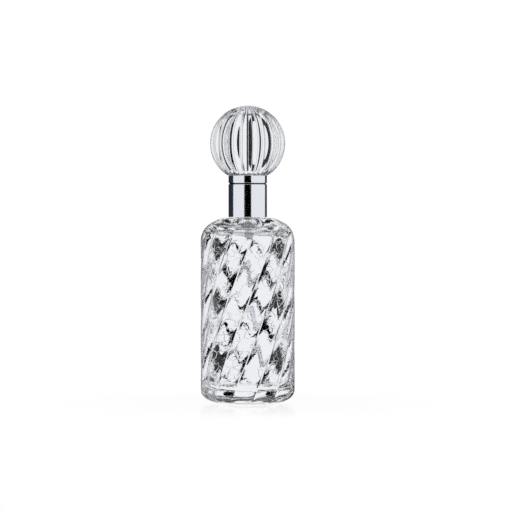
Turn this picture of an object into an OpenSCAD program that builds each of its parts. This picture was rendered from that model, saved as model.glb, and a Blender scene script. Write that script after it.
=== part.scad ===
// Perfume atomiser: a swirl-ribbed crackle-glass bottle, a screw-on fine-mist pump
// and a lift-off cap topped by a lobed solid glass ball.
// Millimetres, +Z up. The origin is the centre of the bottle's resting face, and the
// spray nozzle points along -Y.

/* [Bottle] */
// Outer diameter over the rib crests
body_d = 44; // [42:0.5:46]
// Height from the resting face to the top of the shoulder
bottle_h = 86.5; // [80:0.5:95]
// Thickness of the glass between the rib crests and the cavity
glass_wall = 3.4; // [3:0.1:4]
// Thickness of the glass under the cavity
floor_t = 6; // [5:0.5:8]
// Number of swirled ribs
rib_count = 13; // [10:1:18]
// Depth of the valleys between the ribs
valley_depth = 0.65; // [0.4:0.05:0.9]
// Degrees that the ribs turn for each millimetre of height
swirl_rate = 1.1; // [0.6:0.1:1.4]

/* [Cap] */
// Outer diameter of the metal sleeve and ring
sleeve_d = 18; // [17.8:0.1:18.6]
// Height of the metal ring between the groove and the ball
ring_h = 3.6; // [3.4:0.1:5]
// Height of the groove between the sleeve and the ring
groove_h = 0.45; // [0.3:0.05:0.6]
// Diameter of the glass ball over the lobe crests
ball_d = 35.4; // [30:0.2:40]
// Number of lobes round the ball
lobe_count = 18; // [12:1:22]
// Depth of the valleys between the lobes, as a share of the ball's radius
lobe_depth = 0.05; // [0.03:0.005:0.06]
// Turn of the nearest valley from the front, in degrees
lobe_phase = 8; // [-10:0.5:10]

/* [Pump] */
// Travel of the spray button
stroke = 3; // [2:0.1:3.1]
// Outer diameter of the dip tube
tube_d = 2; // [1.8:0.1:2]
// Turns of thread on the neck
thread_turns = 1.2; // [1:0.1:1.3]
// Axial distance between turns of the thread
thread_pitch = 2.1; // [2:0.1:2.2]

/* [Hidden] */
$fn = 96;
// Overlap that lets a cut run past the face it opens
eps = 0.5;

// Bottle outline
body_r = body_d / 2;
foot_r = body_r - 8;
foot_h = 6;
foot_step = 0.3;
shoulder_flat_r = 9.3;
shoulder_h = 10.8;
kick_r = 10;
kick_h = 1;
rib_roundness = 4.5;
rib_fade_low = 3;
rib_fade_high = 9;
rib_phase = 4.4;
cavity_r = body_r - glass_wall;
cavity_top = bottle_h - 6;
cavity_corner_r = 5;
cavity_shoulder_w = 4.5;
cavity_shoulder_h = 4.5;
points_per_rib = 6;
corner_steps = 5;
side_steps = 12;
shoulder_steps = 7;

// Neck, and the threaded ring cemented on it
neck_r = 5;
neck_bore_r = 3.6;
neck_top = bottle_h + 5.5;
cement_t = 0.1;
neck_ring_z = bottle_h + 0.5;
neck_ring_top = neck_top - 0.2;
thread_root_r = 5.7;
thread_depth = 0.75;
thread_z = bottle_h + 1.6;
thread_embed = 0.15;
thread_half_base = 0.45;
thread_half_crest = 0.22;

// Pump levels, from the neck upwards
gasket_t = 0.8;
flange_r = 6.3;
flange_z = neck_top + gasket_t;
flange_t = 1;
guide_z = flange_z + flange_t;
guide_flange_t = 0.8;
collar_web_z = guide_z + guide_flange_t;
collar_web_t = 1;
collar_top = collar_web_z + collar_web_t;
shell_t = 0.35;
shell_top = collar_top + shell_t;

// Screw collar
collar_z = bottle_h + 0.7;
collar_bore_r = 6.6;
collar_r = 7.4;
collar_hole_r = 3.3;
shell_r = collar_r + shell_t;
shell_edge_r = 0.3;
collar_thread_depth = 0.7;
collar_thread_turns = 1;
// The collar's ridge runs under the neck's, one flank close below the other
collar_thread_drop = 0.7;
collar_thread_start = 60;

// Button and stem
button_gap = 0.25;
button_z = shell_top + stroke + button_gap;
button_h = 5.7;
button_top = button_z + button_h;
button_core_r = 5.1;
button_wall = 0.4;
button_r = button_core_r + button_wall;
button_edge_r = 0.6;
socket_boss_r = 2.45;
socket_boss_drop = 0.8;
stem_r = 1.5;
stem_socket_r = 1.53;
stem_guide_r = 1.55;
stem_top = button_z + 2.7;
stem_bore_r = 0.5;
chimney_r = 3.1;
chimney_bore_r = 2.6;
chimney_floor = guide_z + 1.2;
chimney_top = shell_top + 2.25;
button_hollow_r = 3.6;
button_hollow_h = chimney_top + 0.1 + stroke - button_z;
nozzle_z = button_z + 3.7;
insert_r = 1.3;
insert_l = 2.05;
insert_face = button_r - 0.05;
orifice_r = 0.15;
feed_r = 0.4;

// Inside the pump housing, from the piston downwards
housing_r = 3.2;
housing_bore_r = 2.5;
plug_h = 1.8;
piston_top = guide_z - plug_h - 0.05;
piston_h = 2.35;
piston_r = 2.46;
piston_waist_r = 2.2;
stem_flange_r = 1.9;
stem_flange_t = 0.8;
stem_flange_z = piston_top - piston_h - stem_flange_t;
pilot_r = 1.1;
pilot_h = 1;
port_r = 0.3;
ledge_z = flange_z - 9.4;
retainer_t = 0.5;
retainer_hole_r = 0.5;
retainer_slot_w = 0.35;
retainer_slot_l = 2.1;
chamber_r = 1.15;
chamber_h = 1.4;
seat_h = 0.65;
inlet_r = chamber_r - seat_h;
inlet_z = ledge_z - chamber_h - seat_h;
inlet_h = 0.45;
check_ball_r = 0.9;
// The ball touches its 45 degree seat at this height above the cone's point
check_ball_z = inlet_z - inlet_r + check_ball_r * sqrt(2) + 0.02;
nose_r = 1.8;
nose_z = flange_z - 14.8;
nose_shoulder_z = flange_z - 11.2;
nose_taper_h = 1;
socket_top = inlet_z - inlet_h;

// Spring between the retainer and the stem's flange
wire_d = 0.3;
wire_sides = 6;
spring_r = 1.73;
spring_gap = 0.02;
spring_bottom = ledge_z + retainer_t + spring_gap;
spring_l = stem_flange_z - spring_gap - spring_bottom;
spring_coils = 4.5;
spring_end_coils = 1;
spring_steps = 24;

// Dip tube: straight from the housing, then curved as cut from a coil
tube_r = tube_d / 2;
tube_bore_r = 0.6;
tube_bend_z = bottle_h - 10.5;
tube_bend_r = 250;
tube_end_z = floor_t + 2;
tube_bend_angle = asin((tube_bend_z - tube_end_z) / tube_bend_r);

// Cap
sleeve_r = sleeve_d / 2;
sleeve_wall = 0.5;
sleeve_bore_r = sleeve_r - sleeve_wall;
sleeve_z = bottle_h + 0.2;
sleeve_h = 15.4;
sleeve_top = sleeve_z + sleeve_h;
edge_chamfer = 0.2;
ring_z = sleeve_top + groove_h;
ring_top = ring_z + ring_h;
ring_bore_r = sleeve_bore_r - 0.8;
ring_web_t = 0.5;
spigot_h = 2.1;
adhesive_r = sleeve_r - 0.7;
adhesive_t = 0.3;
liner_z = sleeve_z + 0.7;
liner_top = sleeve_top - spigot_h - 0.1;
liner_bore_r = shell_r + 0.1;
liner_ledge_z = shell_top + 0.05;
liner_ledge_r = 7;
ball_r = ball_d / 2;
ball_seat_r = sleeve_r + 0.5;
ball_seat_drop = sqrt(pow(ball_r, 2) - pow(ball_seat_r, 2));
ball_centre_z = ring_top + ball_seat_drop;
points_per_lobe = 6;
ball_steps = 15;

// ---- Shapes that several parts share ----

// Points of an ellipse's arc about [cx, cz], as [radius, height]
function arc(cx, cz, a, b, from, to, steps) =
    [for (i = [0:steps]) let (t = from + (to - from) * i / steps) [cx + a * cos(t), cz + b * sin(t)]];

// A tube round the Z axis
module tube(outer, inner, low, high) {
    translate([0, 0, low])
        difference() {
            cylinder(r = outer, h = high - low);
            translate([0, 0, -eps]) cylinder(r = inner, h = high - low + 2 * eps);
        }
}

// A solid skinned over equal rings of points, from the lowest ring to the highest
module skin(rings) {
    n = len(rings[0]);
    top = len(rings) - 1;
    sides = [
        for (i = [0:top - 1], j = [0:n - 1])
            let (a = i * n + j, b = i * n + (j + 1) % n)
            each [[a, a + n, b], [b, a + n, b + n]]
    ];
    low_cap = [for (j = [0:n - 1]) j];
    high_cap = [for (j = [n - 1:-1:0]) top * n + j];
    polyhedron([for (ring = rings) each ring], concat([low_cap], sides, [high_cap]), convexity = 10);
}

// A section swept along a helix. The section's points are [distance out from the wall, height], and
// side is 1 where the ridge stands outwards and -1 where it stands inwards. taper is in turns.
module helix_sweep(radius, section, turns, steps, rise, side = 1, taper = 0) {
    count = ceil(turns * steps);
    ordered = side > 0 ? section : [for (i = [len(section) - 1:-1:0]) section[i]];
    skin([
        for (i = [0:count])
            let (
                t = turns * i / count,
                share = taper == 0 ? 1 : max(0.06, min(1, t / taper, (turns - t) / taper))
            )
            [
                for (p = ordered)
                    let (r = radius + side * (p[0] > 0 ? p[0] * share : p[0]))
                    [r * cos(360 * t), r * sin(360 * t), rise(t) + p[1]]
            ]
    ]);
}

// A trapezium thread ridge that stands thread_embed inside its wall
function thread_section(depth) = [
    [-thread_embed, -thread_half_base],
    [-thread_embed, thread_half_base],
    [depth, thread_half_crest],
    [depth, -thread_half_crest],
];

// ---- Bottle ----

// Share of the valley's depth at an angle: 1 on the sharp line between two ribs, 0 on a rib's crest
function valley_share(angle) =
    let (across = rib_count * angle / 360 - floor(rib_count * angle / 360))
    pow(abs(1 - 2 * across), rib_roundness);

// Share of the depth that is left at a height, where the valleys run out
function fade_share(z) =
    min(1, z / rib_fade_low) * max(0, min(1, (bottle_h - z) / rib_fade_high - 0.15));

function bottle_outline() = concat(
    arc(foot_r, foot_h, body_r - foot_r, foot_h - foot_step, -90, 0, corner_steps),
    [
        for (i = [1:side_steps - 1])
            [body_r, foot_h + (bottle_h - shoulder_h - foot_h) * i / side_steps]
    ],
    arc(shoulder_flat_r, bottle_h - shoulder_h, body_r - shoulder_flat_r, shoulder_h,
        0, 90, shoulder_steps)
);

module swirled_glass() {
    count = rib_count * points_per_rib;
    skin([
        for (p = bottle_outline()) [
            for (j = [0:count - 1])
                let (
                    angle = 360 * j / count,
                    r = p[0] - valley_depth * fade_share(p[1]) * valley_share(angle),
                    turned = angle + rib_phase + swirl_rate * p[1] - 90
                )
                [r * cos(turned), r * sin(turned), p[1]]
        ]
    ]);
}

module bottle_cavity() {
    rotate_extrude()
        polygon(concat(
            [[0, floor_t]],
            arc(cavity_r - cavity_corner_r, floor_t + cavity_corner_r,
                cavity_corner_r, cavity_corner_r, -90, 0, 8),
            arc(cavity_r - cavity_shoulder_w, cavity_top - cavity_shoulder_h,
                cavity_shoulder_w, cavity_shoulder_h, 0, 90, 10),
            [[0, cavity_top]]
        ));
    translate([0, 0, floor_t + eps]) cylinder(r = neck_bore_r, h = neck_top - floor_t);
}

module glass_bottle() {
    color("azure", 0.5)
        difference() {
            union() {
                swirled_glass();
                cylinder(r = foot_r - 0.5, h = foot_h / 2);
                translate([0, 0, bottle_h - eps]) cylinder(r = neck_r, h = neck_top - bottle_h + eps);
            }
            bottle_cavity();
            translate([0, 0, -eps]) cylinder(r = kick_r, h = kick_h + eps);
        }
}

module neck_thread_ring() {
    color("gainsboro")
        union() {
            tube(thread_root_r, neck_r + cement_t, neck_ring_z, neck_ring_top);
            helix_sweep(thread_root_r, thread_section(thread_depth), thread_turns, 30,
                function(t) thread_z + thread_pitch * t, taper = 0.12);
        }
}

module neck_cement() {
    color("ivory") tube(neck_r + cement_t, neck_r, neck_ring_z + 0.2, neck_ring_top - 0.2);
}

// ---- Pump ----

module neck_gasket() {
    color("whitesmoke") tube(flange_r, neck_bore_r, neck_top, flange_z);
}

module pump_housing() {
    color("white")
        rotate_extrude()
            polygon([
                [housing_bore_r, guide_z],
                [housing_bore_r, ledge_z],
                [chamber_r, ledge_z],
                [chamber_r, ledge_z - chamber_h],
                [inlet_r, inlet_z],
                [inlet_r, socket_top],
                [tube_r, socket_top],
                [tube_r, nose_z],
                [nose_r, nose_z],
                [nose_r, nose_shoulder_z - nose_taper_h],
                [housing_r, nose_shoulder_z],
                [housing_r, flange_z],
                [flange_r, flange_z],
                [flange_r, guide_z],
            ]);
}

module stem_guide() {
    color("white")
        rotate_extrude()
            polygon([
                [stem_guide_r, guide_z - plug_h],
                [housing_bore_r, guide_z - plug_h],
                [housing_bore_r, guide_z],
                [flange_r, guide_z],
                [flange_r, collar_web_z],
                [chimney_r, collar_web_z],
                [chimney_r, chimney_top],
                [chimney_bore_r, chimney_top],
                [chimney_bore_r, chimney_floor],
                [stem_guide_r, chimney_floor],
            ]);
}

module ball_retainer() {
    color("whitesmoke")
        difference() {
            tube(housing_bore_r, retainer_hole_r, ledge_z, ledge_z + retainer_t);
            for (turn = [0, 90])
                rotate(turn)
                    translate([-retainer_slot_l / 2, -retainer_slot_w / 2, ledge_z - eps])
                        cube([retainer_slot_l, retainer_slot_w, retainer_t + 2 * eps]);
        }
}

module inlet_ball() {
    color("silver") translate([0, 0, check_ball_z]) sphere(r = check_ball_r);
}

// Height of the wire's middle after t coils: closed coils at both ends, open ones between
function spring_rise(t) =
    let (
        open_coils = spring_coils - 2 * spring_end_coils,
        open_l = spring_l - wire_d - 2 * spring_end_coils * wire_d
    )
    spring_bottom + wire_d / 2
        + wire_d * (min(t, spring_end_coils) + max(0, t - spring_coils + spring_end_coils))
        + open_l * max(0, min(1, (t - spring_end_coils) / open_coils));

module main_spring() {
    wire = [
        for (i = [wire_sides - 1:-1:0])
            [wire_d / 2 * cos(360 * i / wire_sides), wire_d / 2 * sin(360 * i / wire_sides)]
    ];
    color("silver")
        helix_sweep(spring_r, wire, spring_coils, spring_steps, function(t) spring_rise(t));
}

module pump_stem() {
    color("white")
        difference() {
            union() {
                translate([0, 0, stem_flange_z - pilot_h]) cylinder(r = pilot_r, h = pilot_h);
                translate([0, 0, stem_flange_z]) cylinder(r = stem_flange_r, h = stem_flange_t);
                translate([0, 0, stem_flange_z]) cylinder(r = stem_r, h = stem_top - stem_flange_z);
            }
            translate([0, 0, stem_flange_z + stem_flange_t + 0.6])
                cylinder(r = stem_bore_r, h = stem_top - stem_flange_z);
            translate([0, 0, piston_top - piston_h / 2])
                rotate([0, 90, 0]) cylinder(r = port_r, h = stem_r + eps);
        }
}

module pump_piston() {
    low = piston_top - piston_h;
    lip_h = 0.5;
    color("gainsboro")
        rotate_extrude()
            polygon([
                [stem_r, low],
                [piston_r, low],
                [piston_r, low + lip_h],
                [piston_waist_r, low + 2 * lip_h],
                [piston_waist_r, piston_top - 2 * lip_h],
                [piston_r, piston_top - lip_h],
                [piston_r, piston_top],
                [stem_r, piston_top],
            ]);
}

module dip_tube() {
    color("whitesmoke")
        union() {
            tube(tube_r, tube_bore_r, tube_bend_z, socket_top);
            translate([tube_bend_r, 0, tube_bend_z])
                rotate([90, 180, 0])
                    rotate_extrude(angle = tube_bend_angle)
                        translate([tube_bend_r, 0])
                            difference() {
                                circle(r = tube_r);
                                circle(r = tube_bore_r);
                            }
        }
}

// ---- Screw collar ----

module screw_collar() {
    ridge_z = thread_z - collar_thread_drop + thread_pitch * collar_thread_start / 360;
    color("white")
        union() {
            difference() {
                translate([0, 0, collar_z]) cylinder(r = collar_r, h = collar_top - collar_z);
                translate([0, 0, collar_z - eps])
                    cylinder(r = collar_bore_r, h = collar_web_z - collar_z + eps);
                cylinder(r = collar_hole_r, h = collar_top + eps);
            }
            rotate(collar_thread_start)
                helix_sweep(collar_bore_r, thread_section(collar_thread_depth), collar_thread_turns, 30,
                    function(t) ridge_z + thread_pitch * t, side = -1, taper = 0.12);
        }
}

module collar_shell() {
    color("silver")
        rotate_extrude()
            polygon(concat(
                [[collar_r, collar_z], [shell_r, collar_z]],
                arc(shell_r - shell_edge_r, shell_top - shell_edge_r,
                    shell_edge_r, shell_edge_r, 0, 90, 6),
                [[collar_hole_r, shell_top], [collar_hole_r, collar_top], [collar_r, collar_top]]
            ));
}

// ---- Spray button ----

module along_nozzle(depth) {
    translate([0, -depth, nozzle_z]) rotate([90, 0, 0]) children();
}

module button_core() {
    boss_z = button_z - socket_boss_drop;
    hollow_top = button_z + button_hollow_h;
    color("white")
        difference() {
            union() {
                difference() {
                    translate([0, 0, button_z])
                        cylinder(r = button_core_r, h = button_h - button_wall);
                    translate([0, 0, button_z - eps])
                        cylinder(r = button_hollow_r, h = hollow_top - button_z + eps);
                }
                translate([0, 0, boss_z]) cylinder(r = socket_boss_r, h = hollow_top - boss_z);
            }
            translate([0, 0, boss_z - eps]) cylinder(r = stem_socket_r, h = stem_top - boss_z + eps);
            cylinder(r = stem_bore_r, h = nozzle_z);
            along_nozzle(0) cylinder(r = feed_r, h = button_r);
            along_nozzle(insert_face - insert_l) cylinder(r = insert_r, h = button_r);
        }
}

module button_shell() {
    color("silver")
        difference() {
            rotate_extrude()
                polygon(concat(
                    [[button_core_r, button_z], [button_r, button_z]],
                    arc(button_r - button_edge_r, button_top - button_edge_r,
                        button_edge_r, button_edge_r, 0, 90, 8),
                    [[0, button_top], [0, button_top - button_wall]],
                    [[button_core_r, button_top - button_wall]]
                ));
            along_nozzle(0) cylinder(r = insert_r, h = button_r + eps);
        }
}

module spray_insert() {
    chamber_d = 0.9;
    face_t = 0.5;
    color("white")
        along_nozzle(insert_face - insert_l)
            difference() {
                cylinder(r = insert_r, h = insert_l);
                translate([0, 0, -eps]) cylinder(r = chamber_d, h = insert_l - face_t + eps);
                cylinder(r = orifice_r, h = insert_l + eps);
            }
}

// ---- Cap ----

module cap_sleeve() {
    color("silver")
        rotate_extrude()
            polygon([
                [sleeve_bore_r, sleeve_z],
                [sleeve_r - edge_chamfer / 2, sleeve_z],
                [sleeve_r, sleeve_z + edge_chamfer / 2],
                [sleeve_r, sleeve_top - edge_chamfer],
                [sleeve_r - edge_chamfer, sleeve_top],
                [sleeve_bore_r, sleeve_top],
            ]);
}

module cap_liner() {
    color("white")
        rotate_extrude()
            polygon([
                [liner_bore_r, liner_z],
                [sleeve_bore_r, liner_z],
                [sleeve_bore_r, liner_top],
                [liner_ledge_r, liner_top],
                [liner_ledge_r, liner_ledge_z],
                [liner_bore_r, liner_ledge_z],
            ]);
}

module cap_ring() {
    seat_z = ring_top - adhesive_t;
    color("silver")
        rotate_extrude()
            polygon([
                [ring_bore_r, sleeve_top - spigot_h],
                [sleeve_bore_r, sleeve_top - spigot_h],
                [sleeve_bore_r, ring_z],
                [sleeve_r - edge_chamfer, ring_z],
                [sleeve_r, ring_z + edge_chamfer],
                [sleeve_r, ring_top],
                [adhesive_r, ring_top],
                [adhesive_r, seat_z],
                [0, seat_z],
                [0, seat_z - ring_web_t],
                [ring_bore_r, seat_z - ring_web_t],
            ]);
}

module ball_adhesive() {
    color("lavender")
        translate([0, 0, ring_top - adhesive_t]) cylinder(r = adhesive_r, h = adhesive_t);
}

module glass_ball() {
    count = lobe_count * points_per_lobe;
    seat_angle = -asin(ball_seat_drop / ball_r);
    tip_angle = 84;
    color("azure", 0.5)
        skin([
            for (i = [0:ball_steps])
                let (
                    rise = i == ball_steps ? 90 : seat_angle + (tip_angle - seat_angle) * i / (ball_steps - 1),
                    r = max(0.3, ball_r * cos(rise))
                )
                [
                    for (j = [0:count - 1])
                        let (
                            angle = 360 * j / count,
                            lobe = 1 - lobe_depth * (1 - abs(sin(lobe_count * angle / 2))),
                            turned = angle + lobe_phase - 90
                        )
                        [r * lobe * cos(turned), r * lobe * sin(turned), ball_centre_z + ball_r * sin(rise)]
                ]
        ]);
}

glass_bottle();
neck_thread_ring();
neck_cement();
neck_gasket();
pump_housing();
stem_guide();
ball_retainer();
inlet_ball();
main_spring();
pump_stem();
pump_piston();
dip_tube();
screw_collar();
collar_shell();
button_core();
button_shell();
spray_insert();
cap_sleeve();
cap_liner();
cap_ring();
ball_adhesive();
glass_ball();
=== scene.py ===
"""Looks for the perfume atomiser: crackle-glass bottle, metal cap and lobed glass ball, in a white studio."""
import math

import bpy
import numpy as np
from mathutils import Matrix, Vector


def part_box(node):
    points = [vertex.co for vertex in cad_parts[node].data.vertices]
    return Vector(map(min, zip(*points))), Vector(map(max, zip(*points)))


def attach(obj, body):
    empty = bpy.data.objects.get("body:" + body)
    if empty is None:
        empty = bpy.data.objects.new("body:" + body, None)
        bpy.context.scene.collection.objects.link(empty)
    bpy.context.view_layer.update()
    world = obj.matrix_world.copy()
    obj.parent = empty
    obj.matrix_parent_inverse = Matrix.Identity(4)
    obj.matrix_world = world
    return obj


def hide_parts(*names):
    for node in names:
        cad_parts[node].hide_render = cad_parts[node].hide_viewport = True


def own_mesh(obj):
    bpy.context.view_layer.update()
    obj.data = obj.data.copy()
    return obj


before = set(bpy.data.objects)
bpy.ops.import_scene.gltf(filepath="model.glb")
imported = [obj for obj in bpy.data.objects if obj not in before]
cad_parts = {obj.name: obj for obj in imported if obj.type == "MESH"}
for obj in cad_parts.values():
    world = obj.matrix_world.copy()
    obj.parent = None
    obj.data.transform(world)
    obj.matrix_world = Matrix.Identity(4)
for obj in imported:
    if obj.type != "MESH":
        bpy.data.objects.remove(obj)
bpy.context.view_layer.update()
MM = 0.001

# Outline of the bottle, in millimetres
BOTTLE_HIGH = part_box("glass_bottle")[1] / MM
BODY_R = BOTTLE_HIGH.x - 0.02
NECK_TOP = BOTTLE_HIGH.z
SHOULDER_TOP = NECK_TOP - 5.5
HEEL_R, HEEL_H = 13.2, 6.0
SHOULDER_R, SHOULDER_H = 9.3, 10.8
NECK_R, NECK_FILLET = 5.0, 0.6
BORE_R, BORE_FILLET = 3.6, 0.9
CAVITY_R = BODY_R - 3.4
CEILING, CEILING_CORNER = 80.5, 4.5
FLOOR, FLOOR_R, FLOOR_CORNER = 6.0, 13.6, 5.0

# Ribs of the bottle: lengths in millimetres, phase in degrees, swirl in degrees per millimetre.
# Waves of the valleys' depth: share, radians per millimetre of height, radians per rib.
RIBS = 13
RIB_PHASE = 4.4
SWIRL = 1.1
CARVED_R = 13
VALLEY_DEPTH = 0.65
VALLEY_POWER = 4.5
VALLEY_ROUND = 0.04
CLEAR_LINE = 0.8
COLUMNS_PER_RIB = 30
UNEVEN_WAVES = ((0.22, 0.24, 2.4), (0.14, 0.11, 4.1))

# Coarse net of cracks, cut into the bottle's mesh: millimetres, with the jitter as a share of a cell
NET_SEED = 11
NET_HEIGHT = 110
ROWS_BELOW = 3
CELL_ACROSS = 4.4
CELL_ALONG = 3.2
JITTER = 0.42
GROOVE_DEPTH = 0.035
GROOVE_WIDTH = 0.3

# Fine net of cracks, a bump in the glass: cells per metre, width as a share of a cell, depth in metres
FINE_CELLS = (190.0, 190.0, 290.0)
FINE_WIDTH = 0.045
FINE_DEPTH = 0.045 * MM

# Ball: lengths in millimetres, depth of the lobes as a share of the radius, angles in degrees
BALL_R = 17.68
LOBES = 18
LOBE_DEPTH = 0.05
LOBE_ROUND = 0.0008
LOBE_PHASE = 8
COLUMNS_PER_LOBE = 24
SEAT_RADII = (0.5, 4, 7, 8.9)
BALL_ROWS, LAST_ROW = 96, 88.5


# ---- Meshes ----

def arc(cx, cz, a, b, start, end, count):
    """Points of an ellipse's arc, as rows of (radius, height)."""
    t = np.radians(np.linspace(start, end, count))
    return np.stack([cx + a * np.cos(t), cz + b * np.sin(t)], 1)


def line(start, end, count):
    """Points of a straight run, as rows of (radius, height)."""
    return np.stack([np.linspace(start[0], end[0], count), np.linspace(start[1], end[1], count)], 1)


def ramp(value, start, end):
    """0 at the start, 1 at the end, and constant beyond them."""
    return np.clip((value - start) / (end - start), 0, 1)


def ring(radius, angle, height):
    """Points round the axis at one height."""
    return np.stack([radius * np.cos(angle), radius * np.sin(angle), np.full(len(angle), height)], 1)


def skin(name, rings, ends=True):
    """A closed smooth-shaded mesh over rings of points, (rings, points, 3) in millimetres."""
    rows, cols = rings.shape[:2]
    index = np.arange(rows * cols).reshape(rows, cols)
    low, high = (index[:-1], index[1:]) if ends else (index, np.roll(index, -1, 0))
    quads = np.stack([low, np.roll(low, -1, 1), np.roll(high, -1, 1), high], -1).reshape(-1, 4)
    points = rings.reshape(-1, 3)
    faces = [quads]
    if ends:
        points = np.concatenate([points, [rings[0].mean(0), rings[-1].mean(0)]])
        n = rows * cols
        first, last = index[0], index[-1]
        faces.append(np.stack([np.full(cols, n), np.roll(first, -1), first], -1))
        faces.append(np.stack([np.full(cols, n + 1), last, np.roll(last, -1)], -1))
    corners = np.concatenate([f.ravel() for f in faces]).astype(np.int32)
    counts = np.concatenate([np.full(len(f), f.shape[1]) for f in faces])
    starts = np.concatenate([[0], np.cumsum(counts)[:-1]]).astype(np.int32)
    mesh = bpy.data.meshes.new(name)
    mesh.vertices.add(len(points))
    mesh.vertices.foreach_set("co", (points * MM).astype(np.float32).ravel())
    mesh.loops.add(len(corners))
    mesh.loops.foreach_set("vertex_index", corners)
    mesh.polygons.add(len(counts))
    mesh.polygons.foreach_set("loop_start", starts)
    mesh.update(calc_edges=True)
    mesh.polygons.foreach_set("use_smooth", np.ones(len(counts), bool))
    return link(name, mesh)


def link(name, data):
    obj = bpy.data.objects.new(name, data)
    bpy.context.scene.collection.objects.link(obj)
    return obj


def place(obj, body, node, material):
    """Puts a material on a piece that stands for a CAD node, and lets it ride with that node's body."""
    obj.data.materials.append(material)
    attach(obj, body)
    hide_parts(node)


# ---- Bottle ----

def outer_profile():
    """From the middle of the push-up under the foot, up the side, to the neck."""
    shoulder_z = SHOULDER_TOP - SHOULDER_H
    return np.concatenate([
        [[0.4, 1.0], [5.0, 0.95], [8.5, 0.8], [9.9, 0.45], [10.8, 0.02], [12.2, 0.0]],
        arc(HEEL_R, HEEL_H, BODY_R - HEEL_R, HEEL_H, -88, 0, 16),
        line((BODY_R, HEEL_H + 0.46), (BODY_R, shoulder_z - 0.5), 150),
        arc(SHOULDER_R, shoulder_z, BODY_R - SHOULDER_R, SHOULDER_H, 0, 90, 28),
        [[7.5, SHOULDER_TOP], [6.2, SHOULDER_TOP + 0.02]],
        arc(NECK_R + NECK_FILLET, SHOULDER_TOP + NECK_FILLET, -NECK_FILLET, -NECK_FILLET, 90, 0, 3),
    ])


def inner_profile():
    """From the neck over its rim, down the bore and the cavity's wall, to the middle of its floor."""
    return np.concatenate([
        [[NECK_R, NECK_TOP - 2.5], [NECK_R, NECK_TOP - 0.3], [NECK_R - 0.2, NECK_TOP]],
        [[BORE_R + 0.2, NECK_TOP], [BORE_R, NECK_TOP - 0.2], [BORE_R, 88.0], [BORE_R, 84.0]],
        arc(BORE_R + BORE_FILLET, CEILING + BORE_FILLET, -BORE_FILLET, -BORE_FILLET, 0, 90, 4),
        arc(CAVITY_R - CEILING_CORNER, CEILING - CEILING_CORNER, CEILING_CORNER, CEILING_CORNER, 90, 0, 14),
        line((CAVITY_R, 70.0), (CAVITY_R, 15.0), 6),
        arc(FLOOR_R, FLOOR + FLOOR_CORNER, CAVITY_R - FLOOR_R, FLOOR_CORNER, 0, -90, 10),
        [[9.0, FLOOR - 0.05], [4.0, FLOOR - 0.1], [0.4, FLOOR - 0.1]],
    ])


def rib_fade(z):
    """Share of the ribs' full depth: they run out towards the foot and on the shoulder."""
    return ramp(z, 0, 3) * ramp(z, SHOULDER_TOP - 1.35, SHOULDER_TOP - 10.35)


def valley(across):
    """Share of the valley's depth, for the distance across a rib from 0 to 1."""
    near = 1 - np.sqrt((1 - np.abs(1 - 2 * across)) ** 2 + VALLEY_ROUND ** 2)
    return np.maximum(near, 0) ** VALLEY_POWER


def unevenness(rib_line, z):
    """How much deeper or shallower than its neighbours a valley is cut, along its height."""
    return 1 + sum(share * np.sin(per_mm * z + per_rib * rib_line) for share, per_mm, per_rib in UNEVEN_WAVES)


def coarse_cracks(across, along):
    """Depth of a net of shallow grooves between cells. The net closes on itself round the bottle."""
    rng = np.random.default_rng(NET_SEED)
    circumference = 2 * np.pi * BODY_R
    rows, cols = int(NET_HEIGHT / CELL_ALONG), round(circumference / CELL_ACROSS)
    jitter = rng.uniform(-JITTER, JITTER, (rows, cols, 2))
    size = np.array([circumference / cols, CELL_ALONG])
    u, v = across / size[0], along / size[1] + ROWS_BELOW
    i, j = np.floor(v).astype(int), np.floor(u).astype(int)
    distance = []
    for di in (-1, 0, 1):
        for dj in (-2, -1, 0, 1, 2):
            row, col = np.clip(i + di, 0, rows - 1), (j + dj) % cols
            gap = np.stack([j + dj + 0.5 - u, i + di + 0.5 - v], -1) + jitter[row, col]
            distance.append(np.hypot(*(gap * size).T))
    nearest, second = np.sort(distance, 0)[:2]
    return GROOVE_DEPTH * np.exp(-((second - nearest) / 2 / GROOVE_WIDTH) ** 2)


def build_bottle():
    """Ribbed outside over a smooth cavity. The `crackled` field says how strong the fine cracks are."""
    cols = RIBS * COLUMNS_PER_RIB
    turn = 2 * np.pi * np.arange(cols) / cols
    position = turn * RIBS / (2 * np.pi)
    across, rib_line = position % 1.0, np.round(position) % RIBS
    from_line = np.minimum(across, 1 - across) * 2 * np.pi * BODY_R / RIBS
    clear_line = np.exp(-(from_line / CLEAR_LINE) ** 2)
    rings, crackled = [], []
    for r, z in outer_profile():
        depth = VALLEY_DEPTH * rib_fade(z) * unevenness(rib_line, z) * valley(across)
        along = np.full(cols, z + 0.8 * (BODY_R - r))
        cracks = coarse_cracks(turn * BODY_R, along) * (1 - clear_line) * ramp(z, 4, 8)
        radius = r - (depth + cracks) * (r > CARVED_R)
        rings.append(ring(radius, turn + math.radians(RIB_PHASE + SWIRL * z - 90), z))
        on_side = 0.35 + 0.65 * ramp(z, 5, 11) * ramp(z, SHOULDER_TOP - 6, SHOULDER_TOP - 14)
        on_skin = ramp(r, 9, 12) * ramp(z, 0, 0.5)
        crackled.append(on_side * on_skin * (1 - clear_line * rib_fade(z)))
    for r, z in inner_profile():
        rings.append(ring(r, turn + math.radians(RIB_PHASE + SWIRL * z - 90), z))
        crackled.append(np.zeros(cols))
    obj = skin("bottle_glass", np.array(rings))
    field = obj.data.attributes.new("crackled", "FLOAT", "POINT")
    field.data.foreach_set("value", np.concatenate([np.array(crackled).ravel(), [0, 0]]).astype(np.float32))
    place(obj, "bottle", "glass_bottle", crackle_glass())


# ---- Ball ----

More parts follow.
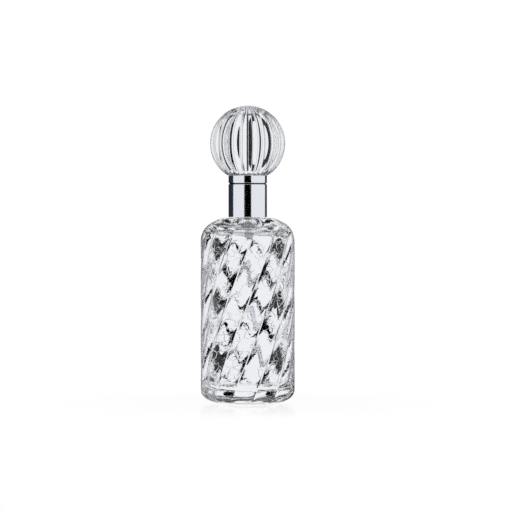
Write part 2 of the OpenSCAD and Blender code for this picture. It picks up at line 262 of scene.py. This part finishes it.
def build_ball():
    """A lobed ball, flat where it sits on the ring."""
    low, high = (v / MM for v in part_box("glass_ball"))
    centre = high.z - BALL_R
    cols = LOBES * COLUMNS_PER_LOBE
    turn = 2 * np.pi * np.arange(cols) / cols
    angle = turn + math.radians(LOBE_PHASE - 90)
    lobe = 1 - LOBE_DEPTH * (1 - np.sqrt(np.sin(LOBES * turn / 2) ** 2 + LOBE_ROUND))
    rings = [ring(radius, angle, low.z) for radius in SEAT_RADII]
    seat = math.asin((low.z - centre) / BALL_R)
    for rise in np.linspace(seat, math.radians(LAST_ROW), BALL_ROWS):
        rings.append(ring(BALL_R * math.cos(rise) * lobe, angle, centre + BALL_R * math.sin(rise)))
    place(skin("ball_glass", np.array(rings)), "cap", "glass_ball", ball_crystal())


# ---- Metal of the cap ----

def lathe(name, outline, columns=192, largest_round=0.06):
    """A solid turned from a closed outline of (radius, height), with a fine round on each corner."""
    points = []
    outline = [Vector(p) for p in outline]
    for k, corner in enumerate(outline):
        before, after = outline[k - 1] - corner, outline[(k + 1) % len(outline)] - corner
        reach = min(largest_round, before.length / 4, after.length / 4)
        start, end = corner + reach * before.normalized(), corner + reach * after.normalized()
        points += [start.lerp(corner, 0.45), (start + end + 2 * corner) / 4, corner.lerp(end, 0.55), end]
        # Extra points along each run, close to its ends, keep the shading flat
        run = after.length - 2 * reach
        steps = [0.02 * run] + [run * i / 8 for i in range(1, 8)] + [0.98 * run, run]
        points += [end + step * after.normalized() for step in steps]
    turn = 2 * np.pi * np.arange(columns) / columns
    return skin(name, np.array([ring(radius, turn, height) for radius, height in points]), ends=False)


def cap_metal():
    """The cap's plating, with painted shade: its base colour darkened in the groove between the sleeve and the
    ring.
    """
    # Heights of the band of painted shade, over the groove between the sleeve and the ring
    low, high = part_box("cap_sleeve")[1].z - 0.12 * MM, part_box("cap_ring")[1].z - 3.58 * MM
    return polished_metal("cap_metal", joint=(low, high))


def build_sleeve():
    low, high = (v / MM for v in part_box("cap_sleeve"))
    r = high.x
    obj = lathe("sleeve_metal", [
        (r - 0.5, low.z), (r - 0.1, low.z), (r, low.z + 0.1),
        (r, high.z - 0.2), (r - 0.2, high.z), (r - 0.5, high.z),
    ])
    place(obj, "cap", "cap_sleeve", cap_metal())


def build_ring():
    low, high = (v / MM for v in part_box("cap_ring"))
    r, groove_top = high.x, high.z - 3.6
    obj = lathe("ring_metal", [
        (r - 1.3, low.z), (r - 0.5, low.z), (r - 0.5, groove_top), (r - 0.2, groove_top),
        (r, groove_top + 0.2), (r, high.z - 0.1), (r - 0.1, high.z), (r - 0.7, high.z),
        (r - 0.7, high.z - 0.3), (0.05, high.z - 0.3), (0.05, high.z - 0.8), (r - 1.3, high.z - 0.8),
    ])
    place(obj, "cap", "cap_ring", cap_metal())


# ---- Materials ----

def new_material(name, **values):
    """A material with its Principled shader's constant inputs set. Returns (material, tree, shader)."""
    material = bpy.data.materials.new(name)
    material.use_nodes = True
    shader = material.node_tree.nodes["Principled BSDF"]
    for key, value in values.items():
        shader.inputs[key.replace("_", " ")].default_value = value
    return material, material.node_tree, shader


def bare_material(name):
    """A material with an empty tree. Returns (material, tree)."""
    material = bpy.data.materials.new(name)
    material.use_nodes = True
    material.node_tree.nodes.clear()
    return material, material.node_tree


def grey(value):
    return (value, value, value, 1)


def darker(tone, share):
    return tuple(share * c for c in tone[:3]) + (1,)


def add(tree, kind, links=(), **values):
    """A node with its settings, constant inputs and links. An input is written in_ and its name or number."""
    node = tree.nodes.new("ShaderNode" + kind)
    for key, value in values.items():
        if key.startswith("in_"):
            socket = key[3:]
            node.inputs[int(socket) if socket.isdigit() else socket.replace("_", " ")].default_value = value
        else:
            setattr(node, key, value)
    for socket, source in links:
        tree.links.new(source, node.inputs[socket])
    return node


def remap(tree, source, low, high, to_low, to_high, **settings):
    """The source's range from low to high, mapped to another range."""
    node = add(tree, "MapRange", [(0, source)], in_1=low, in_2=high, in_3=to_low, in_4=to_high, **settings)
    return node.outputs[0]


def crackle_glass():
    """Clear glass with a net of fine cracks, in coordinates that follow the twist of the ribs."""
    material, tree, shader = new_material(
        "crackle_glass", Base_Color=(0.985, 0.99, 1.0, 1), Roughness=0.0, IOR=1.5,
        Transmission_Weight=1.0, Specular_Tint=grey(0.08))
    place_in = add(tree, "TexCoord").outputs["Object"]
    split = add(tree, "SeparateXYZ", [(0, place_in)])
    twist = add(tree, "Math", [(0, split.outputs[2])], operation="MULTIPLY", in_1=-math.radians(SWIRL) / MM)
    straight = add(tree, "VectorRotate", [("Vector", place_in), ("Angle", twist.outputs[0])],
                   rotation_type="Z_AXIS").outputs[0]
    noise = add(tree, "TexNoise", [("Vector", straight)], in_Scale=220.0, in_Detail=1.0)
    bend = 1.1 * MM
    shift = add(tree, "VectorMath", [(0, noise.outputs["Color"])], operation="MULTIPLY_ADD",
                in_1=(2 * bend,) * 3, in_2=(-bend,) * 3)
    bent = add(tree, "VectorMath", [(0, straight), (1, shift.outputs[0])], operation="ADD")
    sized = add(tree, "VectorMath", [(0, bent.outputs[0])], operation="MULTIPLY", in_1=FINE_CELLS)
    cells = add(tree, "TexVoronoi", [("Vector", sized.outputs[0])], feature="DISTANCE_TO_EDGE", in_Scale=1.0)
    height = remap(tree, cells.outputs["Distance"], 0.0, FINE_WIDTH, 0.0, 1.0, interpolation_type="SMOOTHSTEP")
    patches = add(tree, "TexNoise", [("Vector", straight)], in_Scale=95.0, in_Detail=1.0)
    share = remap(tree, patches.outputs["Fac"], 0.4, 0.6, 0.25, 1.0)
    field = add(tree, "Attribute", attribute_name="crackled")
    strength = add(tree, "Math", [(0, share), (1, field.outputs["Fac"])], operation="MULTIPLY")
    bump = add(tree, "Bump", [("Height", height), ("Strength", strength.outputs[0])], in_Distance=FINE_DEPTH)
    tree.links.new(bump.outputs[0], shader.inputs["Normal"])
    return material


def ball_crystal():
    """Fire-polished glass: clear, with the faint waviness of a pressed surface."""
    material, tree, shader = new_material(
        "ball_crystal", Base_Color=(0.97, 0.985, 1.0, 1), Roughness=0.0, IOR=1.52,
        Transmission_Weight=1.0, Specular_Tint=grey(0.5))
    place_in = add(tree, "TexCoord").outputs["Object"]
    noise = add(tree, "TexNoise", [("Vector", place_in)], in_Scale=160.0, in_Detail=1.0)
    bump = add(tree, "Bump", [("Height", noise.outputs["Fac"])], in_Strength=0.35, in_Distance=0.08 * MM)
    tree.links.new(bump.outputs[0], shader.inputs["Normal"])
    return material


def polished_metal(name="polished_metal", tone=(0.86, 0.885, 0.92, 1), rough=(0.08, 0.14), joint=None):
    """Bright plated metal with faint turning marks round it, and painted shade, a darker base colour, between
    the two heights of a shaded groove.
    """
    if name in bpy.data.materials:
        return bpy.data.materials[name]
    material, tree, shader = new_material(name, Base_Color=tone, Metallic=1.0)
    place_in = add(tree, "TexCoord").outputs["Object"]
    turned = add(tree, "VectorMath", [(0, place_in)], operation="MULTIPLY", in_1=(40.0, 40.0, 9000.0))
    marks = add(tree, "TexNoise", [("Vector", turned.outputs[0])], in_Scale=1.0, in_Detail=3.0)
    tree.links.new(remap(tree, marks.outputs["Fac"], 0.3, 0.7, *rough), shader.inputs["Roughness"])
    # Painted shade: between the two heights the base colour drops to 6 % of the tone, so the groove reads dark
    if joint:
        low, high = joint
        height = add(tree, "SeparateXYZ", [(0, place_in)]).outputs[2]
        in_painted_shade = add(tree, "Math", [(0, height)], operation="COMPARE",
                     in_1=(low + high) / 2, in_2=(high - low) / 2)
        colour = add(tree, "Mix", [("Factor", in_painted_shade.outputs[0])], data_type="RGBA",
                     in_6=tone, in_7=darker(tone, 0.06))
        tree.links.new(colour.outputs[2], shader.inputs["Base Color"])
    return material


def moulded_plastic(name, tone, rough, grain=700.0, depth=0.01):
    """Moulded plastic with a fine grain and slight unevenness of tone."""
    material, tree, shader = new_material(name, Roughness=rough)
    place_in = add(tree, "TexCoord").outputs["Object"]
    noise = add(tree, "TexNoise", [("Vector", place_in)], in_Scale=grain, in_Detail=4.0).outputs["Fac"]
    colour = add(tree, "Mix", [("Factor", noise)], data_type="RGBA", in_6=darker(tone, 0.93), in_7=tone)
    bump = add(tree, "Bump", [("Height", noise)], in_Strength=0.5, in_Distance=depth * MM)
    tree.links.new(colour.outputs[2], shader.inputs["Base Color"])
    tree.links.new(bump.outputs[0], shader.inputs["Normal"])
    return material


def clear_tube():
    """Extruded clear polymer: water-clear with faint draw lines along it."""
    material, tree, shader = new_material(
        "clear_tube", Base_Color=(0.88, 0.89, 0.91, 1), IOR=1.45,
        Transmission_Weight=1.0, Specular_Tint=grey(0.4))
    place_in = add(tree, "TexCoord").outputs["Object"]
    drawn = add(tree, "VectorMath", [(0, place_in)], operation="MULTIPLY", in_1=(3000.0, 3000.0, 60.0))
    noise = add(tree, "TexNoise", [("Vector", drawn.outputs[0])], in_Scale=1.0, in_Detail=2.0)
    tree.links.new(remap(tree, noise.outputs["Fac"], 0.3, 0.7, 0.02, 0.12), shader.inputs["Roughness"])
    return material


def dress_cad_nodes():
    """Materials for the CAD nodes that show as they are."""
    plastic = moulded_plastic("white_plastic", (0.86, 0.86, 0.85, 1), 0.38)
    seal = moulded_plastic("soft_seal", (0.74, 0.75, 0.76, 1), 0.62, 400.0, 0.02)
    cement = moulded_plastic("cement", (0.70, 0.68, 0.62, 1), 0.8, 1500.0, 0.03)
    glue = moulded_plastic("seat_glue", (0.28, 0.29, 0.31, 1), 0.35, 300.0, 0.02)
    steel = polished_metal("spring_steel", (0.62, 0.63, 0.65, 1), (0.15, 0.3))
    ball_steel = polished_metal("ball_steel", (0.70, 0.71, 0.73, 1), (0.05, 0.12))
    plated = polished_metal("plated_neck", (0.74, 0.76, 0.79, 1), (0.12, 0.25))
    metal = polished_metal()
    finishes = {
        "neck_thread_ring": plated, "neck_cement": cement, "neck_gasket": seal, "pump_piston": seal,
        "pump_housing": plastic, "stem_guide": plastic, "ball_retainer": plastic, "pump_stem": plastic,
        "screw_collar": plastic, "button_core": plastic, "spray_insert": plastic, "cap_liner": plastic,
        "inlet_ball": ball_steel, "main_spring": steel, "dip_tube": clear_tube(),
        "collar_shell": metal, "button_shell": metal, "ball_adhesive": glue,
    }
    for node, material in finishes.items():
        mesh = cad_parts[node].data
        mesh.materials.clear()
        mesh.materials.append(material)


def follow_spring():
    """Gives the spring a mesh of its own."""
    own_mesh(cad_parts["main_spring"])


# ---- Studio ----

def glow(name, colour):
    """A plain emitting surface of one colour."""
    material, tree = bare_material(name)
    light = add(tree, "Emission", in_Color=(*colour, 1), in_Strength=1.0)
    add(tree, "OutputMaterial", [("Surface", light.outputs[0])])
    return material


def flat_object(name, points, faces, material):
    mesh = bpy.data.meshes.new(name)
    mesh.from_pydata(points, [], faces)
    mesh.materials.append(material)
    return link(name, mesh)


def hang_card(name, points, colour, reflected, refracted, step=1):
    """A card through pairs of points. A step of 2 leaves out every other face."""
    faces = [(2 * i, 2 * i + 1, 2 * i + 3, 2 * i + 2) for i in range(0, len(points) // 2 - 1, step)]
    card = flat_object(name, points, faces, glow(name, colour))
    card.visible_camera = card.visible_shadow = card.visible_diffuse = False
    card.visible_glossy, card.visible_transmission = reflected, refracted


def flag(name, start, end, low, high, distance, colour, reflected, refracted):
    """A curved card round the object. Angles are in degrees from the camera's side, positive towards +X."""
    turns = np.radians(np.linspace(start, end, 12))
    points = [(distance * math.sin(t), -distance * math.cos(t), z) for t in turns for z in (low, high)]
    hang_card(name, points, colour, reflected, refracted)


def shade(name, height, near, far, tone, step=1):
    """Half a flat ring behind the ball, seen only through the glass."""
    turns = np.radians(np.linspace(90, 270, 25))
    points = [(r * math.sin(t), -r * math.cos(t), height) for t in turns for r in (near, far)]
    hang_card(name, points, grey(tone)[:3], False, True, step)


def build_flags():
    """Dark cards that draw the bands in the metal and the dark marks in the glass."""
    dark, slate = (0.0, 0.0, 0.0), (0.02, 0.027, 0.038)
    flag("front_flag", -21, 21, -1.0, 1.5, 1.5, dark, True, False)
    flag("left_flag", -170, -96, -1.2, 1.2, 1.0, slate, True, False)
    flag("right_flag", 126, 170, -1.2, 1.2, 1.0, slate, True, False)
    low, high, distance = -0.8, 0.9, 1.02
    for side, name in ((-1, "left"), (1, "right")):
        flag("back_flag_" + name, side * 159, side * 171, low, high, distance, dark, False, True)
        for middle in (15, 55, 95, 130):
            start, end = side * (middle - 4), side * (middle + 4)
            flag(f"strip_{name}_{middle}", start, end, low, high, distance, dark, False, True)
    shade("shade_under_ball", 0.1005, 0.0092, 0.05, 0.03, step=2)
    shade("shade_over_ball", 0.150, 0.012, 0.05, 0.06)


def build_world():
    """A white sweep for the camera, and a slightly greyer tent for reflections and refractions."""
    world = bpy.data.worlds.new("studio")
    world.use_nodes = True
    tree = world.node_tree
    tree.nodes.clear()
    tent = add(tree, "Background", in_Color=(0.875, 0.88, 0.90, 1), in_Strength=1.0).outputs[0]
    sweep = add(tree, "Background", in_Color=grey(1), in_Strength=1.0).outputs[0]
    seen = add(tree, "LightPath").outputs["Is Camera Ray"]
    mix = add(tree, "MixShader", [(0, seen), (1, tent), (2, sweep)])
    add(tree, "OutputWorld", [("Surface", mix.outputs[0])])
    bpy.context.scene.world = world


def sweep_material(reach=0.1, gloss_share=0.28):
    """White, with a faint gloss that fades out away from the object."""
    material, tree = bare_material("white_sweep")
    away = add(tree, "VectorMath", [(0, add(tree, "TexCoord").outputs["Object"])], operation="LENGTH")
    share = remap(tree, away.outputs["Value"], 0.0, reach, gloss_share, 0.0)
    light = add(tree, "Emission", in_Color=grey(1), in_Strength=1.0).outputs[0]
    gloss = add(tree, "BsdfGlossy", in_Color=grey(1), in_Roughness=0.12).outputs[0]
    mix = add(tree, "MixShader", [(0, share), (1, light), (2, gloss)])
    add(tree, "OutputMaterial", [("Surface", mix.outputs[0])])
    return material


def build_floor():
    """A white sweep that only the camera sees."""
    size, drop = 3.0, -0.0001
    points = [(-size, -size, drop), (size, -size, drop), (size, size, drop), (-size, size, drop)]
    floor = flat_object("floor", points, [(0, 1, 2, 3)], sweep_material())
    floor.visible_glossy = floor.visible_transmission = floor.visible_diffuse = floor.visible_shadow = False


def build_camera():
    """A long lens, level with the cap, that frames a square 238 mm across at the object."""
    distance, height, frame_width = 1.35, 0.095, 0.2384
    target = Vector((0.0034, 0.0, 0.069))
    data = bpy.data.cameras.new("camera")
    data.sensor_width = 36
    data.lens = data.sensor_width * distance / frame_width
    camera = link("camera", data)
    camera.location = (target.x, -distance, height)
    camera.rotation_euler = (target - camera.location).to_track_quat("-Z", "Y").to_euler()
    bpy.context.scene.camera = camera


def set_render():
    """Standard tones, and enough bounces for the glass."""
    scene = bpy.context.scene
    scene.view_settings.view_transform = "Standard"
    scene.cycles.max_bounces = 24
    scene.cycles.transmission_bounces = 24
    scene.cycles.glossy_bounces = 12


build_bottle()
build_ball()
build_sleeve()
build_ring()
dress_cad_nodes()
follow_spring()
build_flags()
build_world()
build_floor()
build_camera()
set_render()
